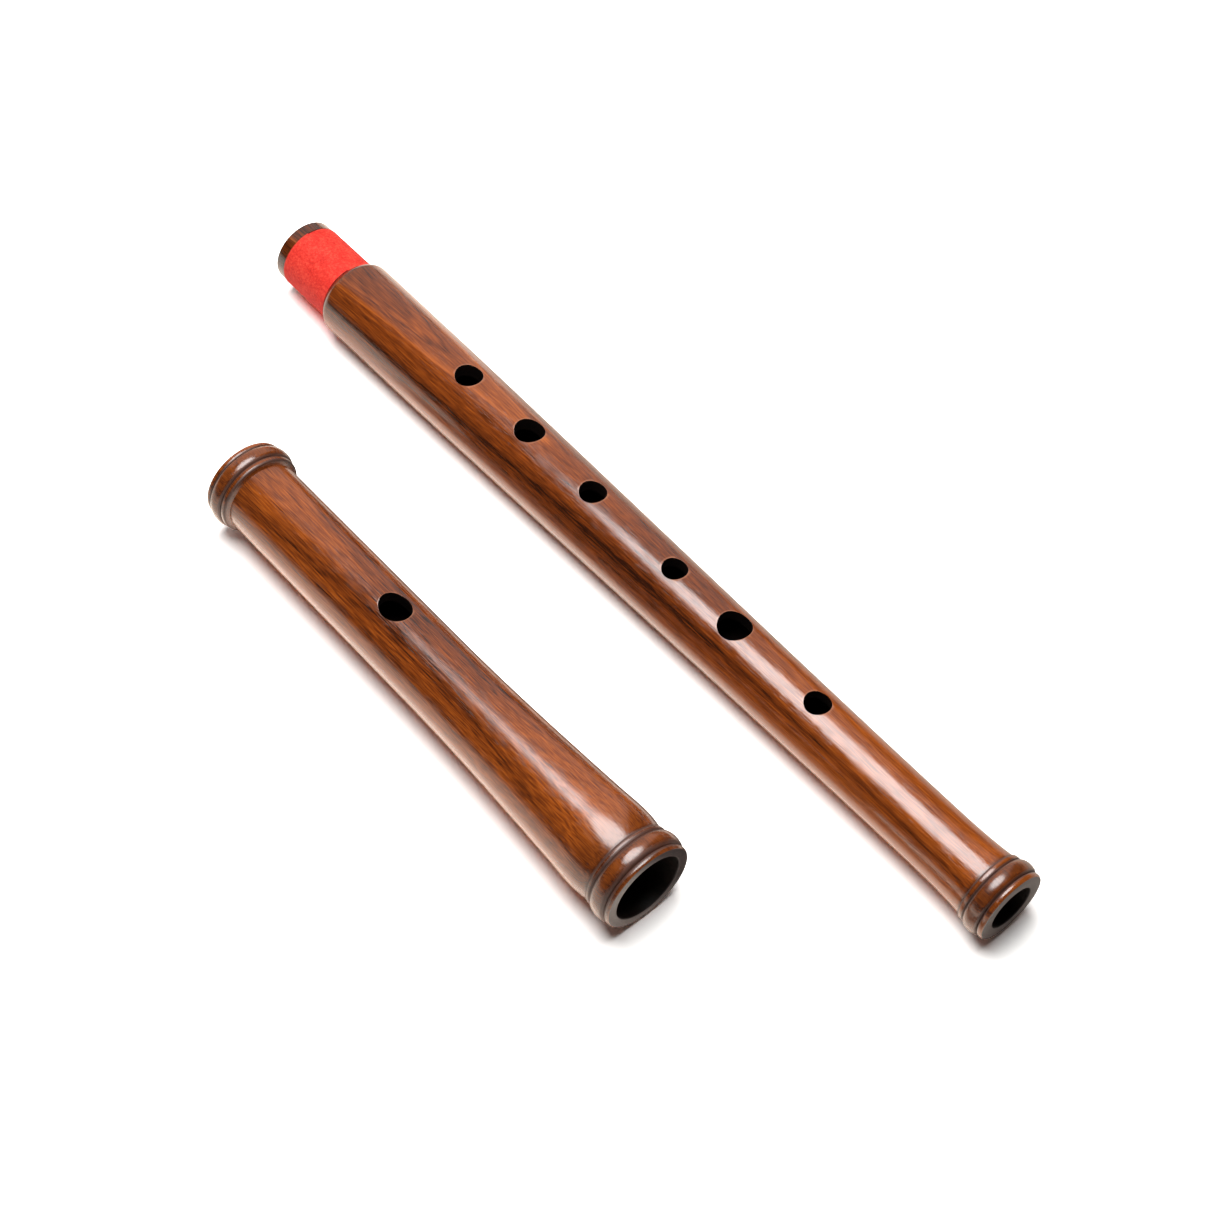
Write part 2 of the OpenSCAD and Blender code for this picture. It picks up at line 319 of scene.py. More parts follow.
WOOD_TONES = [(0.20, (0.026, 0.006, 0.002)), (0.36, (0.100, 0.020, 0.003)), (0.50, (0.185, 0.037, 0.005)),
              (0.64, (0.270, 0.058, 0.007)), (0.84, (0.420, 0.098, 0.012))]
WAX_AND_SHADE_COLOUR, PALE_RIM_COLOUR = (0.016, 0.006, 0.004, 1), (0.42, 0.17, 0.09, 1)
WANDER, RIPPLE = 3.0, 0.7
BASE_TONE, WARM_SHARE, FINE_SHARE, BROAD_SHARE = 0.235, 0.3, 0.15, 0.22
SPECK_SHARE, FIBRE_SHARE, FLECK_SHARE, MIDDLE_STRAND = 0.30, 0.22, 0.16, 0.34
STREAK_DARK, PORE_DARK, WAX_AND_SHADE_DARK, RIM_PALENESS = 1.25, 0.45, 0.85, 0.7
POLISH_ROUGH, FIBRE_ROUGH, PORE_ROUGH, WAX_ROUGH, WAX_POWER = 0.10, 0.05, 0.06, 0.45, 6.0
FIBRE_RISE, PORE_SINK, RELIEF_STRENGTH, RELIEF_DEPTH = 0.5, -0.6, 0.35, 0.05
POLISH_IOR = 1.7


def turned_wood(name, centre, reach, layer_turn, layer_tilt, layer_shift, layer_bow,
                warmth, bands, figure):
    """Oiled hardwood cut from a plank: growth layers square to layer_turn, wandering fibres, short pores.
    The warmth stops make it lighter or darker along the joint, over its reach to both sides of its centre.
    Each band lightens or darkens a layer: its place among the layers, its half width and how much lighter
    or darker it is, and the first one also has dark streaks. On the joints the first two bands are painted
    shade and painted light. The figure is how strongly the fibres show."""
    material, tree, shader, here = new_finish(name)
    beside = node(tree, "ShaderNodeVectorMath", {0: here, 1: Vector(centre) * MM}, operation="SUBTRACT")
    plank = node(tree, "ShaderNodeMapping", {"Vector": beside.outputs[0], "Scale": (1 / MM,) * 3,
                                             "Rotation": (layer_turn, layer_tilt, 0)}).outputs["Vector"]

    def maths(operation, a, b, c=0.0):
        return node(tree, "ShaderNodeMath", {0: a, 1: b, 2: c}, operation=operation).outputs[0]

    def between(value, low, high):
        limits = {"Value": value, "From Min": low, "From Max": high}
        return node(tree, "ShaderNodeMapRange", limits).outputs["Result"]

    def blend(share, first, second):
        return node(tree, "ShaderNodeMix", {"Factor": share, "A": first, "B": second},
                    data_type="RGBA").outputs["Result"]

    def grain(along, across, detail, roughness=0.5, shift=0.0):
        stretched = node(tree, "ShaderNodeMapping", {"Vector": plank, "Scale": (along, across, across),
                                                     "Location": (shift, shift, shift)})
        return speckle(tree, stretched.outputs["Vector"], 1.0, detail, roughness)

    # The layers wander slowly, ripple along the fibres and bow from end to end of the plank.
    apart = node(tree, "ShaderNodeSeparateXYZ", {0: plank}).outputs
    wave = grain(along=0.010, across=0.05, detail=1.0)
    wander = maths("MULTIPLY_ADD", wave, WANDER, layer_shift)
    wave = grain(along=0.06, across=0.40, detail=3.0, roughness=0.6, shift=7.0)
    ripple = maths("MULTIPLY_ADD", wave, RIPPLE, wander)
    bow = maths("MULTIPLY", maths("MULTIPLY", apart["X"], apart["X"]), layer_bow)
    layer = maths("ADD", maths("ADD", apart["Z"], ripple), bow)

    def layers(per_mm, detail, shift):
        place = maths("MULTIPLY_ADD", layer, per_mm, shift)
        spread = {"W": place, "Scale": 1.0, "Detail": detail, "Roughness": 0.6}
        return node(tree, "ShaderNodeTexNoise", spread, noise_dimensions="1D").outputs["Fac"]

    broad = between(layers(per_mm=0.20, detail=1.0, shift=3.3), 0.30, 0.70)
    fine = between(layers(per_mm=1.2, detail=3.0, shift=8.1), 0.30, 0.70)
    fibres = between(grain(along=0.15, across=2.6, detail=3.0, roughness=0.6), 0.30, 0.70)
    flecks = between(grain(along=0.22, across=3.8, detail=1.0, roughness=0.6, shift=3.0), 0.30, 0.70)
    specks = between(grain(along=0.14, across=4.4, detail=0.0, shift=9.0), 0.32, 0.68)
    pores = between(grain(along=0.12, across=4.8, detail=1.0, shift=5.0), 0.55, 0.67)
    close = layers(per_mm=2.0, detail=3.0, shift=12.7)
    streaks = between(maths("MULTIPLY_ADD", fibres, 0.20, close), 0.54, 0.72)

    # The tone adds up layers, strands, warmth and bands, and the colours follow it.
    warm = ramp(tree, between(apart["X"], -reach, reach), [(at, (shade,) * 3) for at, shade in warmth])
    tone = maths("MULTIPLY_ADD", fine, FINE_SHARE, maths("MULTIPLY", broad, BROAD_SHARE))
    strands = maths("MULTIPLY_ADD", specks, SPECK_SHARE, maths("MULTIPLY", fibres, FIBRE_SHARE))
    strands = maths("MULTIPLY_ADD", flecks, FLECK_SHARE, strands)
    tone = maths("MULTIPLY_ADD", maths("SUBTRACT", strands, MIDDLE_STRAND), figure, tone)
    tone = maths("MULTIPLY_ADD", warm, WARM_SHARE, maths("ADD", tone, BASE_TONE))
    inside = []
    # On the joints the first band is painted shade and the second is painted light, laid along the layers.
    for place, half, shift in bands:
        beyond = maths("ABSOLUTE", maths("SUBTRACT", layer, place), 0.0)
        inside.append(between(beyond, half, 0.0))
        tone = maths("MULTIPLY_ADD", inside[-1], shift, tone)
    colour = ramp(tree, tone, WOOD_TONES)

    # Pores and streaks are dark, the grooves and beads get dark wax and painted shade, and the rims of the
    # holes are coloured paler.
    groove = node(tree, "ShaderNodeAttribute", attribute_name="groove").outputs["Fac"]
    paleness = node(tree, "ShaderNodeAttribute", attribute_name="paleness").outputs["Fac"]
    lines = maths("MULTIPLY", streaks, maths("MULTIPLY", inside[0], -STREAK_DARK * bands[0][2]))
    lines = maths("MAXIMUM", maths("MULTIPLY", pores, PORE_DARK * figure), lines)
    # Dark wax and painted shade in the grooves and round the beads.
    soil_and_shade = maths("MAXIMUM", lines, maths("MULTIPLY", groove, WAX_AND_SHADE_DARK))
    dark = blend(soil_and_shade, colour, WAX_AND_SHADE_COLOUR)
    # The rims of the holes are coloured paler than the wood.
    pale = blend(maths("MULTIPLY", paleness, RIM_PALENESS), dark, PALE_RIM_COLOUR)
    tree.links.new(pale, shader.inputs["Base Color"])

    # The polish is a little broken by fibres and pores, and it is matt in the deepest wax.
    matt = maths("MULTIPLY_ADD", fibres, FIBRE_ROUGH, POLISH_ROUGH)
    matt = maths("MULTIPLY_ADD", pores, PORE_ROUGH, matt)
    matt = maths("MULTIPLY_ADD", maths("POWER", groove, WAX_POWER), WAX_ROUGH, matt)
    tree.links.new(matt, shader.inputs["Roughness"])
    relief = maths("MULTIPLY_ADD", fibres, FIBRE_RISE, maths("MULTIPLY", pores, PORE_SINK))
    bump = node(tree, "ShaderNodeBump", {"Height": relief, "Strength": RELIEF_STRENGTH,
                                         "Distance": RELIEF_DEPTH * MM})
    tree.links.new(bump.outputs["Normal"], shader.inputs["Normal"])
    shader.inputs["IOR"].default_value = POLISH_IOR
    return material


def oiled_bore(name):
    """The same wood inside the bores, black with oil."""
    material, tree, shader, here = new_finish(name)
    along = node(tree, "ShaderNodeMapping", {"Vector": here, "Scale": (60, 900, 900)}).outputs["Vector"]
    fibres = speckle(tree, along, 1.0, 3.0)
    colour = ramp(tree, fibres, [(0.35, (0.003, 0.0015, 0.001)), (0.7, (0.010, 0.004, 0.003))])
    tree.links.new(colour, shader.inputs["Base Color"])
    shader.inputs["Roughness"].default_value = 0.55
    shader.inputs["Specular IOR Level"].default_value = 0.25
    return material


def end_grain(name):
    """The same wood across its fibres on the end faces: dark, close and polished."""
    material, tree, shader, here = new_finish(name)
    dots = speckle(tree, here, 2600.0, 3.0)
    colour = ramp(tree, dots, [(0.35, (0.022, 0.012, 0.013)), (0.7, (0.066, 0.036, 0.036))])
    tree.links.new(colour, shader.inputs["Base Color"])
    shader.inputs["Roughness"].default_value = 0.35
    shader.inputs["Specular IOR Level"].default_value = 0.3
    return material


HEAD_R, HEAD_BORE_R = 12.5, 8.5
SOCKET_EASE, CROWN_EASE, MOUTH_EASE = 0.5, 0.3, 0.3
SWELL_START, CLIMB_AT, SWELL_AT = 96.0, 166.0, 177.0
CLIMB_R, SWELL_R, SWELL_END_R = 14.7, 15.3, 14.5
CROWN_BEAD_R, CROWN_BEAD_W, CROWN_FILLET = 15.15, 5.0, 0.8
SOCKET_BEAD_W = 6.1
MOUTH_AT, MOUTH_LEN, MOUTH_W = 77.8, 11.7, 9.7
HOLE_TURN = math.radians(-5.1)
CLIMB_SLOPE, SWELL_SLOPE, SWELL_PITCH, SWELL_STEPS = 0.05, -0.22, 1.0, 8
GROOVE_W = 0.5
HEAD_WARMTH = [(0, 0.95), (0.45, 0.45), (0.75, 0.85), (1, 0.95)]
# The first band is painted shade along the flanks, where they turn from the softbox; the second is painted
# light low on the flanks, where the floor lights them.
HEAD_PAINTED_LIGHT_BANDS = [(16.0, 3.2, -0.20), (5.0, 6.0, 0.22)]
mounts = {mount["name"]: mount["dims"] for mount in frame["record"]["mounts"]}
socket_r, socket_depth = mounts["head_socket"]["r_mm"], mounts["head_socket"]["length_mm"]
head_low, head_high = corners_of("head_tube")
head_start, head_len = head_low.x, head_high.x - head_low.x
socket_bead_r = (head_high.z - head_low.z) / 2
head_axis = middle_of("head_tube")
crown_w = RING_W + CROWN_BEAD_W + RIM_W
swell_end = head_len - RING_W - SOCKET_BEAD_W - RIM_W

head_places = places_between(crown_w + CROWN_FILLET, head_len - socket_depth, [MOUTH_AT])
head_outside = turned_end(crown_w, -1, CROWN_BEAD_R, CROWN_BEAD_W)[::-1]
head_outside += [(place, HEAD_R) for place in head_places if place < SWELL_START]
climb = [place for place in head_places if SWELL_START <= place < CLIMB_AT]
head_outside += eased((SWELL_START, HEAD_R), (CLIMB_AT, CLIMB_R), 0, CLIMB_SLOPE, climb)
head_outside += eased((CLIMB_AT, CLIMB_R), (SWELL_AT, SWELL_R), CLIMB_SLOPE, 0,
                      np.arange(CLIMB_AT, SWELL_AT, SWELL_PITCH))
head_outside += eased((SWELL_AT, SWELL_R), (swell_end, SWELL_END_R), 0, SWELL_SLOPE,
                      np.linspace(SWELL_AT, swell_end, SWELL_STEPS))
head_outside += turned_end(swell_end, 1, socket_bead_r, SOCKET_BEAD_W)
head_inside = rounded_mouth(head_len, 1, socket_r, SOCKET_EASE)
head_inside += [(head_len - socket_depth / 2, socket_r), (head_len - socket_depth, socket_r)]
head_inside += [(place, HEAD_BORE_R) for place in head_places[::-1]]
head_inside += rounded_mouth(0, -1, HEAD_BORE_R, CROWN_EASE)[::-1]
head = turn("head_joint", head_outside + head_inside, head_start, head_axis)
head_wall = outside_of(head_outside)
cut_hole(head, head_start, head_axis, [head_wall, lambda place: np.full_like(place, HEAD_BORE_R)],
         head_places, MOUTH_AT, HOLE_TURN, MOUTH_LEN / 2, MOUTH_W / 2)
ease_rims(head, MOUTH_EASE)
head_wood = turned_wood("head_wood", (head_start + head_len / 2, *head_axis), head_len / 2,
                        layer_turn=math.radians(2), layer_tilt=0.004, layer_shift=2.0, layer_bow=0.0005,
                        warmth=HEAD_WARMTH, bands=HEAD_PAINTED_LIGHT_BANDS, figure=1.0)
bore_wood, end_wood = oiled_bore("oiled_bore"), end_grain("end_grain")
# Each groove, and the wood round the beads and beside the rings, gets dark wax and painted shade: a place,
# a width and an amount.
head_grooves = [(at, GROOVE_W, 1.0) for at in (RIM_W, RIM_W + CROWN_BEAD_W, crown_w,
                                              swell_end, swell_end + RING_W, head_len - RIM_W)]
head_grooves += [(crown_w / 2, 5.0, 0.42), (crown_w, 8.0, 0.28),
                 (swell_end - 1.0, 8.0, 0.52), (swell_end + RING_W, 1.6, 0.4),
                 (head_len - RIM_W, 1.8, 0.5), (head_len - RIM_W, 4.5, 0.38)]
finish_wood(head, head_start, head_axis, head_len, head_wall, head_grooves,
            [head_wood, bore_wood, end_wood])
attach(head, "head")
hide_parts("head_tube")

# Body joint: the longer billet, bored on a taper and turned to a slow taper from barrel to foot.
# A tenon is turned on its upper end for the head's socket, six finger holes are cut through its top,
# and its foot flares to the same ring, bead and lip as the head's ends.
WAIST_R, WAIST_AT = 10.53, 300.0
LIP_LEN, LIP_R, SEAT_R, BEVEL_LEN = 4.0, 11.4, 10.5, 3.5
FLARE_R, FOOT_BEAD_R, FOOT_BEAD_W = 11.4, 12.95, 5.4
TIP_EASE, TIP_BORE_EASE, FOOT_EASE, HOLE_EASE = 0.3, 0.4, 0.4, 0.35
TAPER_SHARE, FLARE_LIFT, BEVEL_STEPS, FLARE_STEPS = 0.25, 3, 9, 20
# Each finger hole's place along the joint, its width and how many degrees it lies beside the row.
HOLES = [(88.7, 9.3, 0), (118.6, 10.1, -2.4), (150.0, 9.0, 0),
         (188.3, 8.4, 0), (215.5, 11.0, 0), (251.6, 8.6, 0)]
BODY_WARMTH = [(0.03, 0.0), (0.08, 0.28), (0.25, 0.40), (0.55, 0.18), (0.8, 0.95), (1, 0.95)]
# The first band is painted shade on the near flank, where it turns from the softbox; the second is painted
# light lower down, where the floor lights it.
BODY_BANDS_WITH_PAINTED_LIGHT = [(15.2, 3.6, -0.23), (7.5, 5.0, 0.24), (21.75, 0.15, 0.16),
              (22.4, 0.4, -0.08), (22.65, 0.12, -0.12), (23.1, 0.12, -0.12)]
thread_r, tenon_len = mounts["tenon"]["r_mm"], mounts["tenon"]["length_mm"]
foot_bore_r, foot_bore_len = mounts["foot_bore"]["r_mm"], mounts["foot_bore"]["length_mm"]
body_low, body_high = corners_of("body_tube")
body_start, body_len = body_low.x, body_high.x - body_low.x
barrel_r = (body_high.z - body_low.z) / 2
body_axis = middle_of("body_tube")
barrel_at = tenon_len + BEVEL_LEN
flare_end = body_len - RING_W - FOOT_BEAD_W - RIM_W
taper = TAPER_SHARE * (WAIST_R - barrel_r) / (WAIST_AT - barrel_at)
flare = FLARE_LIFT * (FLARE_R - WAIST_R) / (flare_end - WAIST_AT)


def body_bore(place):
    """The bore's radius: a taper from the tenon's tip to the straight stretch at the foot."""
    straight_at = body_len - foot_bore_len
    return np.interp(place, [0, straight_at], [HEAD_BORE_R, foot_bore_r])


body_places = places_between(barrel_at, WAIST_AT, [at for at, _, _ in HOLES])
bevel_slope = 2 * (barrel_r - thread_r) / BEVEL_LEN
# The tip's outer edge is an eased mouth turned inside out.
body_outside = [(place, -radius) for place, radius in rounded_mouth(0, -1, -LIP_R, TIP_EASE)]
body_outside += [(LIP_LEN, LIP_R), (LIP_LEN, SEAT_R), (tenon_len, SEAT_R)]
body_outside += eased((tenon_len, thread_r), (barrel_at, barrel_r), bevel_slope, taper,
                      np.linspace(tenon_len, barrel_at, BEVEL_STEPS)[:-1])
body_outside += eased((barrel_at, barrel_r), (WAIST_AT, WAIST_R), taper, taper, body_places)
body_outside += eased((WAIST_AT, WAIST_R), (flare_end, FLARE_R), 0, flare,
                      np.linspace(WAIST_AT, flare_end, FLARE_STEPS)[1:])
body_outside += turned_end(flare_end, 1, FOOT_BEAD_R, FOOT_BEAD_W)
body_inside = rounded_mouth(body_len, 1, foot_bore_r, FOOT_EASE)
body_inside += [(body_len - foot_bore_len, foot_bore_r)]
body_inside += [(place, float(body_bore(place))) for place in body_places[::-1]]
body_inside += rounded_mouth(0, -1, HEAD_BORE_R, TIP_BORE_EASE)[::-1]
body = turn("body_joint", body_outside + body_inside, body_start, body_axis)
body_wall = outside_of(body_outside)
for at, across, aside in HOLES:
    cut_hole(body, body_start, body_axis, [body_wall, body_bore], body_places, at,
             HOLE_TURN + math.radians(aside), across / 2, across / 2)
ease_rims(body, HOLE_EASE)
body_wood = turned_wood("body_wood", (body_start + body_len / 2, *body_axis), body_len / 2,
                        layer_turn=math.radians(12), layer_tilt=0.010, layer_shift=6.5, layer_bow=0.000106,
                        warmth=BODY_WARMTH, bands=BODY_BANDS_WITH_PAINTED_LIGHT, figure=0.68)
# Each groove, the tenon's lip, the shoulder and the foot bead get dark wax and painted shade: a place, a
# width and an amount.
body_grooves = [(at, GROOVE_W, 1.0) for at in (flare_end, flare_end + RING_W, body_len - RIM_W)]
body_grooves += [(LIP_LEN / 2, 3.0, 0.40), (tenon_len, 2.0, 0.85),
                 (body_len - RIM_W - FOOT_BEAD_W / 2, 5.0, 0.74)]
finish_wood(body, body_start, body_axis, body_len, body_wall, body_grooves,
            [body_wood, bore_wood, end_wood])
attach(body, "body")
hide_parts("body_tube")

# Tenon winding: red cotton wound round the tenon in close turns, so that the head's socket grips it.
# It lies on the tenon's seat, held by its own tension and by the lip and the shoulder beside it,
# and its fibres are rubbed up into a fine nap.
STRAND_R, STRAND_PITCH, STRAND_SIDES = 0.22, 0.36, 8
WIND_STEPS = 72
THREAD_LUMP, THREAD_NUB, THREAD_SWAY, MOST_LUMP = 0.05, 0.03, 0.05, 0.02
LUMP_RATE, NUB_RATE, SWAY_RATE = 900, 3500, 1500
wind_start = LIP_LEN + STRAND_R
wind_len = tenon_len - LIP_LEN - 2 * STRAND_R
wind_turns = round(wind_len / STRAND_PITCH)
wind_axis = Vector((body_start + wind_start, *body_axis)) * MM
bpy.ops.object.select_all(action="DESELECT")
bpy.ops.mesh.primitive_circle_add(vertices=STRAND_SIDES, radius=STRAND_R * MM,
                                  rotation=(math.pi / 2, 0, 0))
winding = bpy.context.object
winding.name = "tenon_winding"
bpy.ops.object.transform_apply(location=False, rotation=True, scale=False)
bpy.ops.object.mode_set(mode="EDIT")
bpy.ops.mesh.select_all(action="SELECT")
bpy.ops.transform.translate(value=(0, 0, (thread_r - STRAND_R) * MM))
bpy.ops.object.mode_set(mode="OBJECT")
wind = winding.modifiers.new("wind", "SCREW")
wind.axis = "X"
wind.screw_offset = wind_len / wind_turns * MM
wind.iterations = wind_turns
wind.steps = wind.render_steps = WIND_STEPS
wind.use_smooth_shade = True
bpy.ops.object.modifier_apply(modifier=wind.name)
for vertex in winding.data.vertices:
    lump = noise.noise(vertex.co * LUMP_RATE) * THREAD_LUMP
    lump += noise.noise(vertex.co * NUB_RATE) * THREAD_NUB
    lift = 1 + min(lump, MOST_LUMP) / thread_r
    swayed = vertex.co.x + noise.noise(vertex.co * SWAY_RATE) * THREAD_SWAY * MM
    vertex.co = Vector((swayed, vertex.co.y * lift, vertex.co.z * lift))
bpy.ops.object.mode_set(mode="EDIT")
bpy.ops.mesh.select_all(action="SELECT")
bpy.ops.mesh.fill_holes(sides=STRAND_SIDES)
bpy.ops.mesh.select_all(action="SELECT")
bpy.ops.mesh.normals_make_consistent(inside=False)
bpy.ops.object.mode_set(mode="OBJECT")
winding.location = wind_axis
bpy.ops.object.transform_apply(location=True, rotation=False, scale=False)


def red_cotton(name):
    """Matt dyed cotton with paler raised fibres."""
    material, tree, shader, here = new_finish(name)
    lint = speckle(tree, here, 1300.0, 4.0, 0.7)
    paleness = speckle(tree, here, 260.0, 3.0)
    fine = node(tree, "ShaderNodeMath", {0: lint, 1: 0.7}, operation="MULTIPLY").outputs[0]
    mixed = node(tree, "ShaderNodeMath", {0: paleness, 1: 0.3, 2: fine}, operation="MULTIPLY_ADD").outputs[0]
    colour = ramp(tree, mixed, [(0.31, (0.54, 0.007, 0.006)), (0.50, (0.78, 0.034, 0.020)),
                                (0.69, (0.92, 0.100, 0.058))])
    tree.links.new(colour, shader.inputs["Base Color"])
    bump = node(tree, "ShaderNodeBump", {"Height": lint, "Strength": 0.35, "Distance": 0.1 * MM})
    tree.links.new(bump.outputs["Normal"], shader.inputs["Normal"])
    shader.inputs["Roughness"].default_value = 0.7
    shader.inputs["Specular IOR Level"].default_value = 0.3
    shader.inputs["Sheen Weight"].default_value = 0.12
    shader.inputs["Sheen Tint"].default_value = (1.0, 0.5, 0.4, 1)
    return material


winding.data.materials.append(red_cotton("red_cotton"))
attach(winding, "body")
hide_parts("tenon_thread")

# Crown plug: a short turned stopper of the same wood, pressed into the crown to close the head's end.
# Its face is domed a little, its edges are eased and it shines less than the joints.
PLUG_DOME, PLUG_EASE, PLUG_IOR = 0.5, 0.3, 1.45
DOME_STEPS, EDGE_STEPS = 12, 5
plug_low, plug_high = corners_of("crown_plug")
plug_r = (plug_high.z - plug_low.z) / 2
plug_len = plug_high.x - plug_low.x
face_r = plug_r - PLUG_EASE
dome = [(PLUG_DOME * (i / DOME_STEPS) ** 2, face_r * i / DOME_STEPS) for i in range(DOME_STEPS + 1)]
edge = [(PLUG_DOME + PLUG_EASE * (1 - math.cos(t)), face_r + PLUG_EASE * math.sin(t))
        for t in (math.pi / 2 * i / EDGE_STEPS for i in range(1, EDGE_STEPS + 1))]
inner_end = [(plug_len - PLUG_EASE, plug_r), (plug_len, face_r), (plug_len, 0)]
plug = turn("crown_stopper", dome + edge + inner_end, plug_low.x, middle_of("crown_plug"))
plug_wood = turned_wood("plug_wood", (plug_low.x, *head_axis), plug_len,
                        layer_turn=math.radians(35), layer_tilt=0.01, layer_shift=1.0, layer_bow=0.0,
                        warmth=[(0, 0.15), (1, 0.15)], bands=[(0, 1, -0.1)], figure=1.0)
plug_wood.node_tree.nodes["Principled BSDF"].inputs["IOR"].default_value = PLUG_IOR
plug.data.materials.append(plug_wood)
bpy.ops.object.shade_smooth_by_angle(angle=SMOOTH_UNDER)
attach(plug, "crown")
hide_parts("crown_plug")

# Stopper cork: a cylinder of natural cork that ends the air column beside the embouchure hole.
# It is cut a little over size, eased at both ends and held in the bore by its own squeeze.
CORK_EASE, FACE_STEPS = 0.5, 10
cork_low, cork_high = corners_of("stopper_cork")
cork_r = (cork_high.z - cork_low.z) / 2
cork_len = cork_high.x - cork_low.x
cork_edge = [(CORK_EASE * (1 - math.sin(t)), cork_r - CORK_EASE * (1 - math.cos(t)))
             for t in (math.pi / 2 * (1 - i / EDGE_STEPS) for i in range(EDGE_STEPS + 1))]
cork_outline = [(0, cork_r * i / FACE_STEPS) for i in range(FACE_STEPS - 1)] + cork_edge
cork_outline += [(cork_len - place, radius) for place, radius in cork_outline[::-1]]
cork = turn("stopper", cork_outline, cork_low.x, middle_of("stopper_cork"))


def natural_cork(name):
    """Pale cork with dark pits."""
    material, tree, shader, here = new_finish(name)
    cells = speckle(tree, here, 700.0, 5.0)
    colour = ramp(tree, cells, [(0.34, (0.10, 0.045, 0.02)), (0.44, (0.42, 0.25, 0.13)),
                                (0.7, (0.55, 0.36, 0.20))])
    tree.links.new(colour, shader.inputs["Base Color"])
    bump = node(tree, "ShaderNodeBump", {"Height": cells, "Strength": 0.5, "Distance": 0.3 * MM})
    tree.links.new(bump.outputs["Normal"], shader.inputs["Normal"])
    shader.inputs["Roughness"].default_value = 0.8
    return material


cork.data.materials.append(natural_cork("natural_cork"))
bpy.ops.object.shade_smooth_by_angle(angle=SMOOTH_UNDER)
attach(cork, "stopper")
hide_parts("stopper_cork")

# Floor: a plain white sheet under the flute, brighter to the eye than to the light it throws back.
# It stays white to the horizon and keeps the shadows beside the flute. What the polished wood mirrors
# of it is painted: painted shade between the joints and far from them, and painted bright, warm strips
# beside the near side of each joint.
FLOOR_SIZE = 6.0
MIRROR_FROM, MIRROR_TO = -300, 60
# Painted reflection: how bright the polish sees the floor, from the front of the flute to its back.
PAINTED_REFLECTION_STOPS = [(0.0, 0.25), (0.64, 0.65), (0.69, 1.2), (0.735, 1.2), (0.775, 0.11), (0.845, 0.07),
                (0.872, 0.6), (0.905, 1.0), (0.98, 0.35)]
PAINTED_REFLECTION_TINT, PAPER_TINT = (2.0, 1.76, 1.52), (1.0, 0.985, 0.965)
CROWN_FROM, CROWN_TO = -100, -125
FADE_FROM, FADE_TO, FADE_DARK, FADE_LIGHT = -260, -20, 0.15, 0.62
WHITE_FROM, WHITE_TO, WHITE_NEAR, WHITE_FAR = 150, 500, 1.7, 3.5
HORIZON_FROM, HORIZON_TO = 450, 800
bpy.ops.object.select_all(action="DESELECT")
bpy.ops.mesh.primitive_plane_add(size=FLOOR_SIZE)
floor = bpy.context.object
floor.name = "floor"
floor_paper = bpy.data.materials.new("white_floor")
floor_paper.use_nodes = True
paper = floor_paper.node_tree
paper.nodes.clear()


def over(value, low, high, start=0.0, end=1.0):
    """A length on the floor from low to high, in millimetres, turned into a value from start to end."""
    limits = {"Value": value, "From Min": low * MM, "From Max": high * MM, "To Min": start, "To Max": end}
    return node(paper, "ShaderNodeMapRange", limits).outputs["Result"]


def tinted(tint, strength):
    """A tint at a given strength."""
    return node(paper, "ShaderNodeVectorMath", {0: tint, "Scale": strength}, operation="SCALE").outputs[0]


def either(choice, first, second):
    """The first colour, or the second where the choice is 1."""
    return node(paper, "ShaderNodeMix", {"Factor": choice, "A": first, "B": second},
                data_type="RGBA").outputs["Result"]


seen = node(paper, "ShaderNodeLightPath").outputs
spot = node(paper, "ShaderNodeTexCoord").outputs["Object"]
spot_at = node(paper, "ShaderNodeSeparateXYZ", {0: spot}).outputs
away = node(paper, "ShaderNodeVectorMath", {0: spot}, operation="LENGTH").outputs["Value"]
# Painted reflection: glossy rays see the painted strips and shade, and past the crown a painted fade,
# darker in front.
painted_reflection_stops = [(at, (shade,) * 3) for at, shade in PAINTED_REFLECTION_STOPS]
painted_reflection = ramp(paper, over(spot_at["Y"], MIRROR_FROM, MIRROR_TO), painted_reflection_stops)
past_crown = over(spot_at["X"], CROWN_FROM, CROWN_TO)
painted_fade = over(spot_at["Y"], FADE_FROM, FADE_TO, FADE_DARK, FADE_LIGHT)
painted_reflection = node(paper, "ShaderNodeMix", {"Factor": past_crown, "A": painted_reflection,
                                         "B": painted_fade}).outputs["Result"]
thrown = either(seen["Is Glossy Ray"], (1, 1, 1, 1), tinted(PAINTED_REFLECTION_TINT, painted_reflection))
shown = tinted(PAPER_TINT, over(away, WHITE_FROM, WHITE_TO, WHITE_NEAR, WHITE_FAR))
whiteness = either(seen["Is Camera Ray"], thrown, shown)
sheet = node(paper, "ShaderNodeBsdfDiffuse", {"Color": whiteness}).outputs[0]
glow = node(paper, "ShaderNodeEmission", {"Strength": 1.0}).outputs[0]
far_off = over(away, HORIZON_FROM, HORIZON_TO)
horizon = node(paper, "ShaderNodeMath", {0: far_off, 1: seen["Is Camera Ray"]},
               operation="MULTIPLY").outputs[0]
surface = node(paper, "ShaderNodeMixShader", {0: horizon, 1: sheet, 2: glow}).outputs[0]
node(paper, "ShaderNodeOutputMaterial", {"Surface": surface})
floor.data.materials.append(floor_paper)

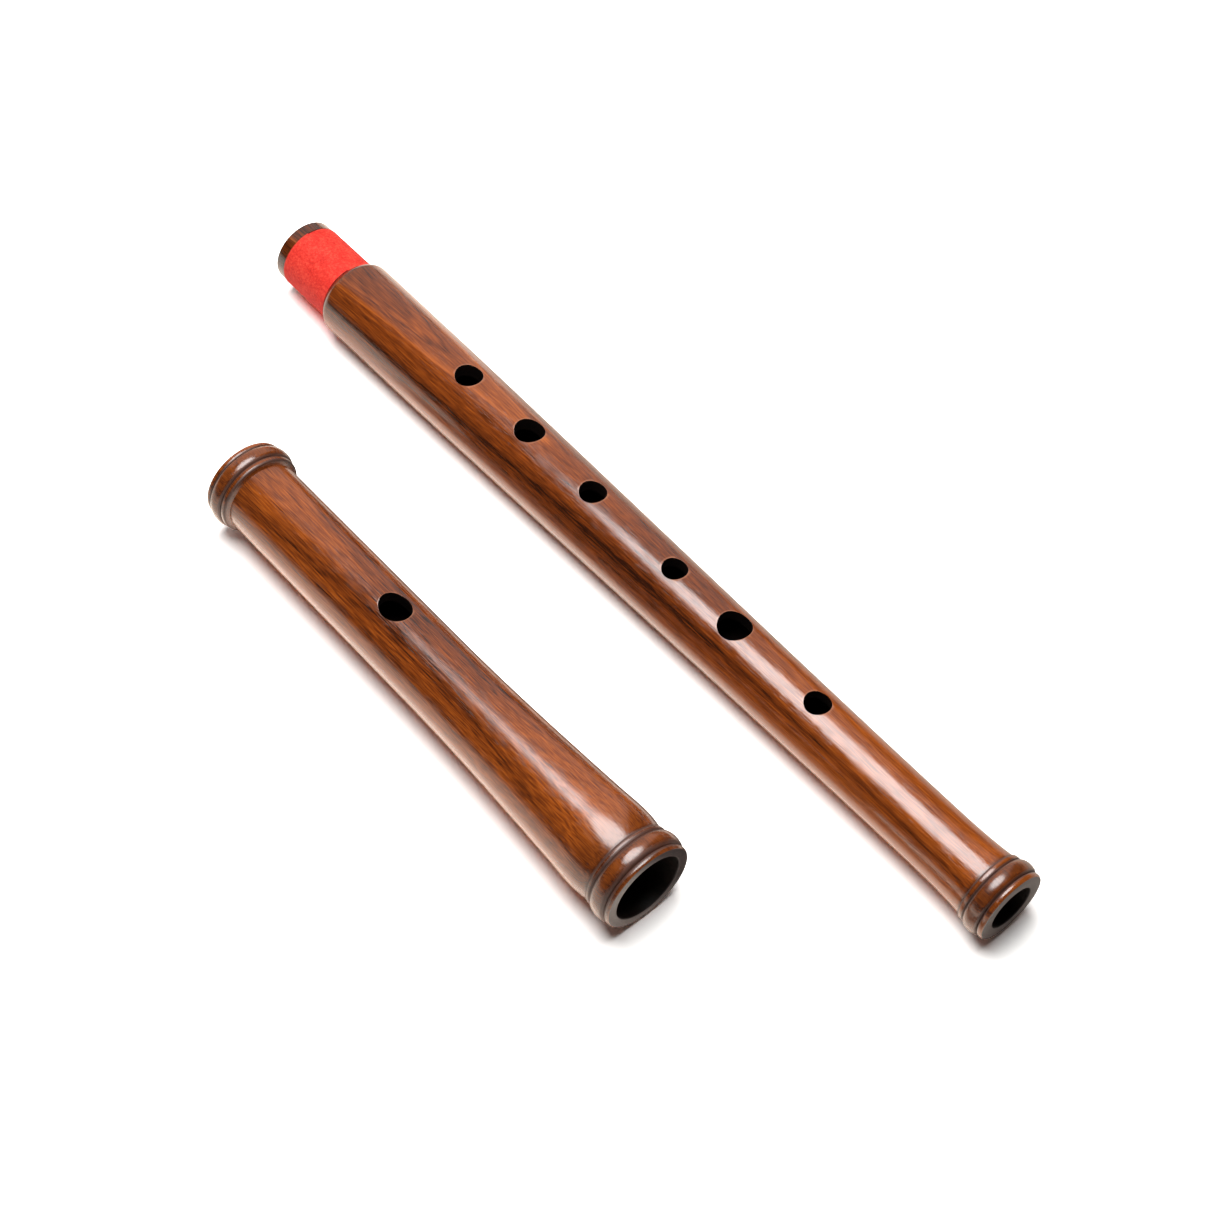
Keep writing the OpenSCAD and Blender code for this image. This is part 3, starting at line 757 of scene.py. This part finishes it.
# Camera: above the foot end on the head's side, looking down along the flute.
# Its place, lens and turn were fitted to the edges and rims of both joints.
CAMERA_AZIMUTH, CAMERA_DOWN = 49.2375, 55.008
CAMERA_PLACE = (348.02, -269.04, 645.35)
CAMERA_LENS, SENSOR_W = 74.603, 36
bpy.ops.object.camera_add(location=Vector(CAMERA_PLACE) * MM,
                          rotation=(math.radians(90 - CAMERA_DOWN), 0, math.radians(CAMERA_AZIMUTH)))
camera = bpy.context.object
camera.data.sensor_width = SENSOR_W
camera.data.lens = CAMERA_LENS
bpy.context.scene.camera = camera

# Light: a round softbox overhead and a white card on the far side, in a dark room.
# The softbox gives the long highlights on both joints, and the card lights their far sides.
ROOM_LEVEL = 0.02
across_way = Vector((math.cos(math.radians(CAMERA_AZIMUTH)), math.sin(math.radians(CAMERA_AZIMUTH)), 0))
away_way = Vector((-across_way.y, across_way.x, 0))


def lamp(name, shape, right, back, up, width, depth, watts, tilt=0.0):
    """A flat lamp that faces down before its tilt, to the right of, behind and above the flute's middle."""
    place = (across_way * right + away_way * back) * MM + Vector((0, 0, up * MM))
    bpy.ops.object.light_add(type="AREA", location=place,
                             rotation=(tilt, 0, math.radians(CAMERA_AZIMUTH)))
    made = bpy.context.object
    made.name = name
    made.data.shape = shape
    made.data.size = width * MM
    made.data.size_y = depth * MM
    made.data.energy = watts
    made.visible_camera = False


lamp("softbox", "DISK", right=-17, back=46, up=620, width=520, depth=520, watts=5.8)
lamp("far_card", "RECTANGLE", right=-200, back=620, up=450, width=1300, depth=900, watts=2.2,
     tilt=math.radians(-60))
world = bpy.data.worlds.new("room")
bpy.context.scene.world = world
world.use_nodes = True
room = world.node_tree
room.nodes.clear()
looked = node(room, "ShaderNodeLightPath").outputs["Is Camera Ray"]
dim = node(room, "ShaderNodeBackground", {"Color": (1, 1, 1, 1), "Strength": ROOM_LEVEL})
white = node(room, "ShaderNodeBackground", {"Color": (1, 1, 1, 1), "Strength": 1.0})
backdrop = node(room, "ShaderNodeMixShader", {0: looked, 1: dim.outputs[0], 2: white.outputs[0]})
node(room, "ShaderNodeOutputWorld", {"Surface": backdrop.outputs[0]})
bpy.context.scene.view_settings.view_transform = "Standard"
